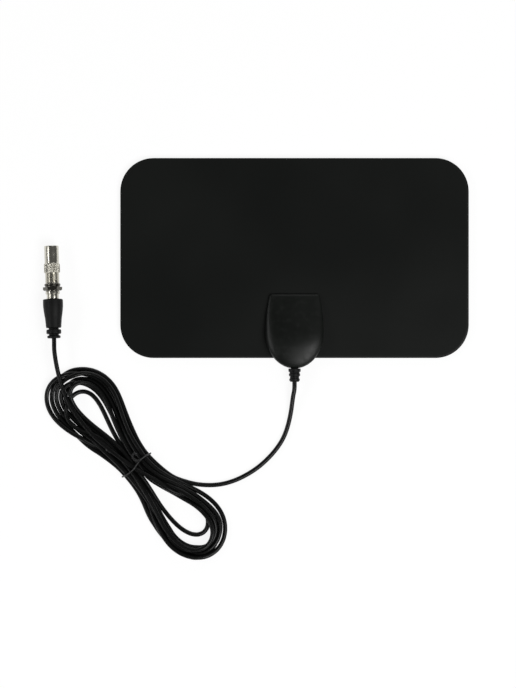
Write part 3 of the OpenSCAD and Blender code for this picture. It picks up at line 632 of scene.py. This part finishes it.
def adapter_piece():
    """Turned adapter with a helical thread, a diamond knurl and a thin push-on barrel."""
    form = bmesh.new()
    ring = [form.verts.new((r * MM, 0, s * MM)) for r, s in adapter_profile()]
    edges = [form.edges.new(pair) for pair in zip(ring, ring[1:])]
    edges.append(form.edges.new((ring[-1], ring[0])))
    bmesh.ops.spin(form, geom=ring + edges, cent=(0, 0, 0), axis=(0, 0, 1), angle=2 * math.pi,
                   steps=AROUND, use_merge=True)
    bmesh.ops.remove_doubles(form, verts=form.verts, dist=WELD / 10)
    for vert in form.verts:
        x, y, station = (c / MM for c in vert.co)
        radius = math.hypot(x, y)
        kept = 1 - cut_depth(radius, station, math.atan2(y, x) / (2 * math.pi)) / radius
        vert.co.x *= kept
        vert.co.y *= kept
    bmesh.ops.recalc_face_normals(form, faces=form.faces)
    turn = PLUG_AXIS.to_track_quat("Z", "Y").to_matrix().to_4x4()
    bmesh.ops.transform(form, matrix=Matrix.Translation(PLUG_TAIL) @ turn, verts=form.verts)
    shaded(form, THREAD_ANGLE)
    piece = placed("plug_barrel", mesh_of(form, "plug_barrel"))
    dressed(piece, "nickel")
    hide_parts("adapter_shell")
    return piece


pieces["adapter_shell"] = adapter_piece()
dressed(lead, "sheath")
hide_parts(*LEAD_NODES)

# Thin wire tie: once round the waist of the hank, its two ends twisted together and curled up.
# It takes in the turns within WAIST_HALF of its middle, TIE_GAP from them, and bows by TIE_SWAY
# across the top.
WAIST_HALF, TIE_GAP, TIE_SWAY = 16, 0.05, 1.3
TIE_DIRECTIONS, TIE_STEP = 96, 0.9
STRAND_R, STRAND_STEP, TWIST_PITCH = 0.42, 0.35, 3.2
# Middle line of the twisted ends in plan, from the knot on top of the hank to their curled tip,
# each with its height over the loop
TWIST = [
    (-101.2, -51.2, 0.2), (-102.6, -51.7, 0.9), (-104.2, -51.6, 1.2), (-105.8, -50.8, 1.4),
    (-106.8, -49.3, 1.2), (-106.4, -47.6, 0.8), (-104.9, -47.2, 0.5), (-104.0, -48.3, 0.4)]


def tie_loop():
    """A closed line drawn tight round the turns in the waist, and the height of its top."""
    middle = TIE_ENDS.mean(0)
    ahead = np.array([-TIE_WAY[1], TIE_WAY[0]])
    side = (lead_line[:, :2] - middle) @ TIE_WAY
    past = (lead_line[:, :2] - middle) @ ahead
    i = np.nonzero((past[:-1] * past[1:] < 0) & (np.abs(side[:-1]) < WAIST_HALF))[0]
    t = past[i] / (past[i] - past[i + 1])
    turns = np.stack([side[i] + t * (side[i + 1] - side[i]),
                      lead_line[i, 2] + t * (lead_line[i + 1, 2] - lead_line[i, 2])], 1)
    angle = np.linspace(0, 2 * np.pi, TIE_DIRECTIONS)
    way = np.stack([np.cos(angle), np.sin(angle)], 1)
    hull = turns[np.argmax(way @ turns.T, axis=1)] + (LEAD_R + TIE_WIRE_R + TIE_GAP) * way
    hull = even_steps(np.insert(hull, 1, 0, axis=1), TIE_STEP)[:-1]
    low, high = hull[:, 2].min(), hull[:, 2].max()
    half = (hull[:, 0].max() - hull[:, 0].min()) / 2
    sway = TIE_SWAY * np.sin(np.pi * (hull[:, 0] - hull[:, 0].mean()) / half)
    sway *= (hull[:, 2] - low) / (high - low)
    plan = middle + hull[:, :1] * TIE_WAY + sway[:, None] * ahead
    return np.column_stack([plan, hull[:, 2]]), high


def twisted_ends(tie_top):
    """The two strands of the tie's tail, wound round their common middle line."""
    middle = curve_through(TWIST, STRAND_STEP) + (0, 0, tie_top)
    along = np.gradient(middle, axis=0)
    along /= np.linalg.norm(along, axis=1)[:, None]
    side = np.cross(along, (0, 0, 1.0))
    side /= np.linalg.norm(side, axis=1)[:, None]
    over = np.cross(side, along)
    turn = np.arange(len(middle)) * STRAND_STEP / TWIST_PITCH * 2 * np.pi
    for name, start in (("tie_end_a", 0.0), ("tie_end_b", np.pi)):
        swing = np.cos(turn + start)[:, None] * side + np.sin(turn + start)[:, None] * over
        yield curve_piece(name, middle + STRAND_R * swing + EXIT, STRAND_R, resolution=2, sides=2)


tie_line, tie_top = tie_loop()
tie = curve_piece("wire_tie", tie_line + EXIT, TIE_WIRE_R, closed=True)
tie_ends = list(twisted_ends(tie_top))
for wire in [tie] + tie_ends:
    dressed(wire, "tie")
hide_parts("hank_tie")

# ---------------------------------------------------------------- floor, lamps and world
# The floor is pale paper. To the camera and in reflections most of it is a plain white glow, and
# the rest is the paper itself, which keeps the object's shadow.
FLOOR_DROP = 0.1 * MM
FLOOR_SIZE = 4.0
GLOW, GLOW_SHARE = 1.05, 0.85
WORLD_LIGHT = 0.1
floor_form = bmesh.new()
bmesh.ops.create_grid(floor_form, x_segments=1, y_segments=1, size=FLOOR_SIZE,
                      matrix=Matrix.Translation((0, 0, -FLOOR_DROP)))
floor = placed("floor", mesh_of(floor_form, "floor"))
paper = Finish("paper", (0.9, 0.9, 0.9), 0.9)
rays = paper.place.node("LightPath")
seen = rays
for kind in ("Is Glossy Ray", "Is Transmission Ray"):
    seen = seen.at_least(Wire(rays.socket.node.outputs[kind]))
glow = paper.place.node("Emission", None, {"Color": (1, 1, 1, 1), "Strength": GLOW})
mixed = paper.place.node("MixShader", None,
                         {0: seen * GLOW_SHARE, 1: Wire(paper.shader.outputs[0]), 2: glow})
paper.material.node_tree.links.new(
    mixed.socket, paper.material.node_tree.nodes["Material Output"].inputs[0])
floor.data.materials.append(paper.material)

world = bpy.data.worlds.new("studio")
bpy.context.scene.world = world
world.use_nodes = True
sky = world.node_tree.nodes["Background"]
sky.inputs["Color"].default_value = (1, 1, 1, 1)
sky.inputs["Strength"].default_value = WORLD_LIGHT


def softbox(name, place, size, power):
    """A rectangular lamp that faces the origin."""
    data = bpy.data.lights.new(name, "AREA")
    data.shape = "RECTANGLE"
    data.size, data.size_y = size
    data.energy = power
    lamp = placed(name, data)
    lamp.location = place
    lamp.rotation_euler = (-Vector(place)).to_track_quat("-Z", "Y").to_euler()


softbox("softbox_key", (0.8, -0.8, 1.5), (1.4, 1.0), 25)
softbox("softbox_left", (-1.4, -0.1, 0.95), (1.6, 0.35), 8)
softbox("softbox_back", (0.3, 1.6, 0.9), (1.4, 0.6), 6)

bpy.context.scene.view_settings.view_transform = "Standard"
